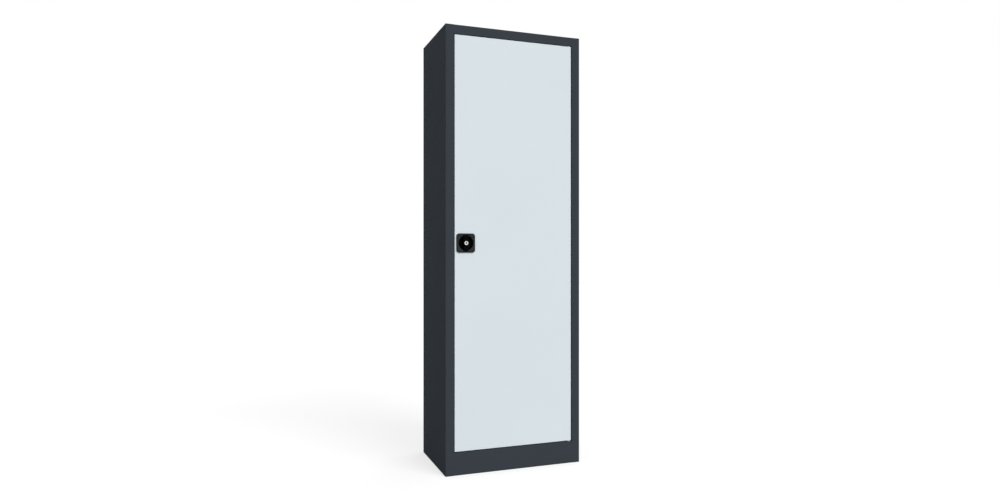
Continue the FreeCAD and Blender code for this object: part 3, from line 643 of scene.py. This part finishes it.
moulding = bmesh.new()
housing_spots = [[moulding.verts.new(point) for point in points] for points in housing_rings]
bridge(moulding, housing_spots[dish_rings - 1:] + housing_spots[:1])
# The dish's faces take the second finish: the plate's plastic darkened as painted shade in the recess.
bridge(moulding, housing_spots[:dish_rings], finish=1)
housing_mesh = bpy.data.meshes.new("handle_moulding")
moulding.to_mesh(housing_mesh)
moulding.free()
housing_mesh.transform(Matrix.Translation(grip_spot))
plate_black = moulded_black("black_plate", colour=(0.0100, 0.0120, 0.0142), grain=30e-6, specular=0.15)
# Painted shade: the dish is the same plastic as the plate, painted near-black for the shade in its recess.
dish_painted_shade = moulded_black("black_dish", colour=(0.003, 0.003, 0.0033), grain=6e-6, specular=0.03)
housing_mesh.materials.append(plate_black)
housing_mesh.materials.append(dish_painted_shade)

bolt_low, bolt_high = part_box("lock_bolt")
bolt_throw, notch_play = 0.0035, 0.0005
notch_start = bore_radius / 2
notch_size = bolt_high - bolt_low + Vector((1, 1, 1)) * 2 * notch_play
notch_size.x = bolt_high.x + bolt_throw + notch_play - handle_middle.x - notch_start
notch_middle = Vector((notch_start + notch_size.x / 2, (bolt_low.y + bolt_high.y) / 2 - door_low.y, 0))
blocks = bmesh.new()
for turn in (0, math.pi / 2):
    turned = Matrix.Translation(grip_spot) @ Matrix.Rotation(turn, 4, "Y") @ Matrix.Translation(notch_middle)
    bmesh.ops.create_cube(blocks, size=1, matrix=turned @ Matrix.Diagonal((*notch_size, 1)))
block_mesh = bpy.data.meshes.new("notch_blocks")
blocks.to_mesh(block_mesh)
blocks.free()
uncut = set_out("uncut_moulding", housing_mesh)
notches = uncut.modifiers.new("notches", "BOOLEAN")
notches.object = set_out("notch_blocks", block_mesh)
notches.solver = "MANIFOLD"
housing = set_out("handle_moulding", finished_mesh(uncut))
bpy.data.objects.remove(notches.object)
bpy.data.objects.remove(uncut)
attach(housing, "door")
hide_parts("handle_housing")


# Handle screws: four pan-head screws with a cross recess, driven from inside the door into the plate.
# They are zinc-plated steel.

def pan_head(radius, height, shank, length):
    """Half the outline of a pan-head screw, with its seat at height 0."""
    flat_top, wall = 0.62 * radius, 0.55 * height
    head = dome(radius, flat_top, wall, height, steps=6)
    return [(0, -length), (shank, -length), (shank, 0), (radius, 0), *head, (0, height)]


screw_tree, screw = new_tree("cross_screws", {"Shape": "Object", "Head height": "Float",
                                              "Recess length": "Float", "Recess width": "Float",
                                              "Recess depth": "Float"})
blank = screw["Shape"].node("GeometryNodeObjectInfo", None, {"Object": screw["Shape"]}, "Geometry")
for length, width in (("Recess length", "Recess width"), ("Recess width", "Recess length")):
    size = blank.node("ShaderNodeCombineXYZ", None,
                      {"X": screw[length], "Y": screw[width], "Z": screw["Recess depth"] * 2})
    bar = size.node("GeometryNodeMeshCube", None, {"Size": size})
    rise = bar.node("ShaderNodeCombineXYZ", None, {"Z": screw["Head height"]})
    cutter = bar.node("GeometryNodeTransform", None, {"Geometry": bar, "Translation": rise})
    blank = blank.node("GeometryNodeMeshBoolean", {"operation": "DIFFERENCE", "solver": "MANIFOLD"},
                       {"Mesh 1": blank, "Mesh 2": cutter})
end_tree(screw_tree, set_on_points(screw["Points"], blank), screw["Finish"])


def cross_screws(name, places, radius, height, shank, length):
    """Pan-head screws whose seats are on the places, facing the inside of the cabinet."""
    model = set_out(name + "_model", lathe(pan_head(radius, height, shank, length), turned_sides))
    sizes = {"Shape": model, "Head height": height, "Recess length": radius * 1.15,
             "Recess width": radius * 0.3, "Recess depth": height * 0.6, "Finish": turned_zinc}
    piece = grow(name, screw_tree, point_cloud(places, (0, 1, 0)), sizes)
    bpy.data.objects.remove(model)
    return piece


screw_low, screw_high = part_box("handle_screws")
head_radius, shank_radius = 0.004, 0.0017
screw_seat = door_low.y + door_sheet
screw_spots = [(x, screw_seat, z) for x in (screw_low.x + head_radius, screw_high.x - head_radius)
               for z in (screw_low.z + head_radius, screw_high.z - head_radius)]
screws = cross_screws("plate_screws", screw_spots, head_radius, screw_high.y - screw_seat, shank_radius,
                      screw_seat - screw_low.y)
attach(screws, "door")
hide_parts("handle_screws")


# Grip: a black moulded bar across the dish and its rim, with the round hub that holds the lock cylinder.
# It turns in the housing; its stem drives the latch behind.

grip_edge, grip_edge_segments = 0.0014, 4
# Painted shade: the grip is darker than real black plastic, standing for the shade in the dish.
grip_painted_shade = moulded_black("black_grip", colour=(0.0018, 0.0018, 0.0020), grain=8e-6, specular=0.015)
softened("handle_grip", grip_edge, grip_painted_shade, grip_edge_segments)


# Lock cylinder: a nickel-plated barrel pressed into the grip, with the plug that the key turns.
# The plug's tail pushes a small flat bolt sideways into one of the housing's notches.

def nickel_plate(name, front, colour):
    """Satin nickel on turned brass: fine rings, faint tarnish, a painted dark reflection on the rim and
    painted shade in depth.
    """
    dark_reflection_start, dark_reflection_end = 0.0062, 0.0082
    depth_shade_start, depth_shade_end = 0.0005, 0.002
    painted_depth_shade = (0.035, 0.032, 0.028)
    material, shader, place = new_finish(name)
    across, depth, upward = place.axes()
    across = across - front.x
    upward = upward - front.z
    radius = (across * across + upward * upward).math("SQRT")
    rings = radius.node("ShaderNodeTexNoise", {"noise_dimensions": "1D"},
                        {"W": radius, "Scale": 5200.0, "Detail": 3.0}, "Fac")
    turned = rings.step(0.3, 0.7).tint(shaded(colour, 0.86), shaded(colour, 1.08))
    tarnish = place.noise(260.0, 4.0).step(0.45, 0.8)
    bright = (tarnish * 0.6).tint(turned, shaded(colour, 0.8))
    # Painted reflection: the outer rim of the face darkens, as if it mirrored the black housing around it.
    rim_painted_reflection = radius.step(dark_reflection_start, dark_reflection_end).tint(bright, shaded(colour, 0.12))
    # Painted shade: surfaces more than a millimetre or two behind the front face, as in the keyway, turn
    # nearly black.
    tone = depth.step(front.y + depth_shade_start, front.y + depth_shade_end).tint(rim_painted_reflection, painted_depth_shade)
    fill_sockets(shader, {"Base Color": tone, "Metallic": 1.0, "Normal": rings.relief(3e-6),
                          "Roughness": rings * 0.12 + tarnish * 0.1 + 0.44})
    return material


# The plug's nickel is darkened as painted shade, standing for the shade in its keyway.
barrel_nickel, plug_nickel_painted_shade = (0.80, 0.80, 0.795), (0.34, 0.34, 0.335)
for part, colour in (("cylinder_barrel", barrel_nickel), ("cylinder_plug", plug_nickel_painted_shade)):
    front = Vector((handle_middle.x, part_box(part)[0].y, handle_middle.z))
    softened(part, fine_edge, nickel_plate("nickel_" + part, front, colour))
softened("lock_bolt", small_edge, strip_zinc)


# Latch: a square spindle carries a steel cam with the tongue that hooks behind the door stop.
# Two riveted pins with rings drive the rods; a washer and a screw hold the cam on.

rolled_zinc = zinc_plate("zinc_rolled", grain=(2400.0, 900.0, 260.0))
softened("spindle", wide_edge, turned_zinc)
softened("latch_cam", wide_edge, rolled_zinc)
for part in ("rod_pins", "rod_retainers", "cam_washer"):
    softened(part, small_edge, turned_zinc)
cam_screw_low, cam_screw_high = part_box("cam_screw")
cam_head_radius = (cam_screw_high.x - cam_screw_low.x) / 2
cam_shank_radius = 0.0024
cam_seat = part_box("cam_washer")[1].y
cam_bolt = cross_screws("cam_fixing_screw", [(handle_middle.x, cam_seat, handle_middle.z)], cam_head_radius,
                        cam_screw_high.y - cam_seat, cam_shank_radius, cam_seat - cam_screw_low.y)
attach(cam_bolt, "handle")
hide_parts("cam_screw")


# Bolt rods: two flat steel bars that the cam pushes up into the header and down into the sill.
# Each slides in a slotted steel angle that is riveted to the door's lip.

rod_zinc = zinc_plate("zinc_rod", grain=(1800.0, 1800.0, 25.0))
for rod in ("upper_rod", "lower_rod"):
    softened(rod, wide_edge, rod_zinc)
for guide in ("upper_rod_guide", "lower_rod_guide"):
    softened(guide, small_edge, rolled_zinc)

rivet_low, rivet_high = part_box("guide_rivets")
rivet_radius, rivet_shank, rivet_height, rivet_wall = 0.0036, 0.002, 0.0012, 0.0003
hole_mouth, hole_radius, hole_floor = 0.0013, 0.0011, 0.00048
rivet_spacing = 0.025
rivet_seat = rivet_high.y - rivet_height
rivet_tail = rivet_low.y - rivet_seat
rivet_profile = [(0, rivet_tail), (rivet_shank, rivet_tail), (rivet_shank, 0), (rivet_radius, 0),
                 *dome(rivet_radius, hole_mouth, rivet_wall, rivet_height, steps=6),
                 (hole_radius, hole_floor), (0, hole_floor)]
rivet_spots = []
for rod, height in (("upper_rod", rivet_high.z - rivet_radius), ("lower_rod", rivet_low.z + rivet_radius)):
    rod_low, rod_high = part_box(rod)
    for offset in (-rivet_spacing / 2, rivet_spacing / 2):
        rivet_spots.append(((rod_low.x + rod_high.x) / 2 + offset, rivet_seat, height))
rivets = studs("domed_rivets", rivet_profile, rivet_spots, (0, 1, 0), turned_zinc)
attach(rivets, "door")
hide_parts("guide_rivets")


# Studio: a pale floor under soft light with a white surround, seen from the left at half the cabinet's
# height. The floor is white to the camera where nothing shades it.

def seen_directly(tree):
    """1 for rays that show a surface to the camera, in gloss or through glass, and 0 for other rays."""
    rays = tree.nodes.new("ShaderNodeLightPath").outputs
    glossy = Field(rays["Is Glossy Ray"]).math("MAXIMUM", Field(rays["Is Transmission Ray"]))
    return Field(rays["Is Camera Ray"]).math("MAXIMUM", glossy)


floor_half = 15.0
floor_dark, floor_light, floor_lift = (0.37, 0.37, 0.37), (0.39, 0.39, 0.39), (0.68, 0.68, 0.68)
floor_mesh = bpy.data.meshes.new("floor")
floor_corners = [(-1, -1), (1, -1), (1, 1), (-1, 1)]
floor_mesh.from_pydata([(x * floor_half, y * floor_half, 0) for x, y in floor_corners], [], [(0, 1, 2, 3)])
floor = set_out("floor", floor_mesh)
floor_finish, floor_shader, floor_place = new_finish("pale_floor")
floor_tone = floor_place.noise(3.0, 3.0).tint(floor_dark, floor_light)
floor_glow = seen_directly(floor_finish.node_tree).tint((0, 0, 0), floor_lift)
fill_sockets(floor_shader, {"Base Color": floor_tone, "Roughness": 0.9, "Specular IOR Level": 0.0,
                            "Emission Color": floor_glow, "Emission Strength": 1.0})
floor_mesh.materials.append(floor_finish)

ambient = 0.535
world = bpy.data.worlds.new("white_studio")
world.use_nodes = True
bpy.context.scene.world = world
background = world.node_tree.nodes["Background"]
seen = seen_directly(world.node_tree)
fill_sockets(background, {"Color": (1, 1, 1, 1), "Strength": seen * (1 - ambient) + ambient})


def soft_lamp(name, share, direction, spread_angle):
    """A wide, even light from a direction: a share of 1 shows a surface that faces it as its own colour."""
    lamp = bpy.data.lights.new(name, "SUN")
    lamp.energy = share * math.pi
    lamp.angle = math.radians(spread_angle)
    holder = bpy.data.objects.new(name, lamp)
    holder.rotation_euler = Vector(direction).to_track_quat("Z", "Y").to_euler()
    bpy.context.scene.collection.objects.link(holder)


soft_lamp("front_lamp", share=0.683, direction=(0.35, -0.75, 0.5), spread_angle=42)
soft_lamp("rear_lamp", share=0.25, direction=(0.75, 0.55, 0.35), spread_angle=60)

lens = bpy.data.cameras.new("camera")
lens.sensor_width = 36.0
lens.lens = 26.42
lens.shift_x = -0.0304
lens.shift_y = 0.0011
camera = bpy.data.objects.new("camera", lens)
camera.location = (-1.060, -3.115, 0.921)
camera.rotation_euler = (math.radians(90), 0, math.radians(-21.21))
bpy.context.scene.collection.objects.link(camera)
bpy.context.scene.camera = camera
bpy.context.scene.view_settings.view_transform = "Standard"
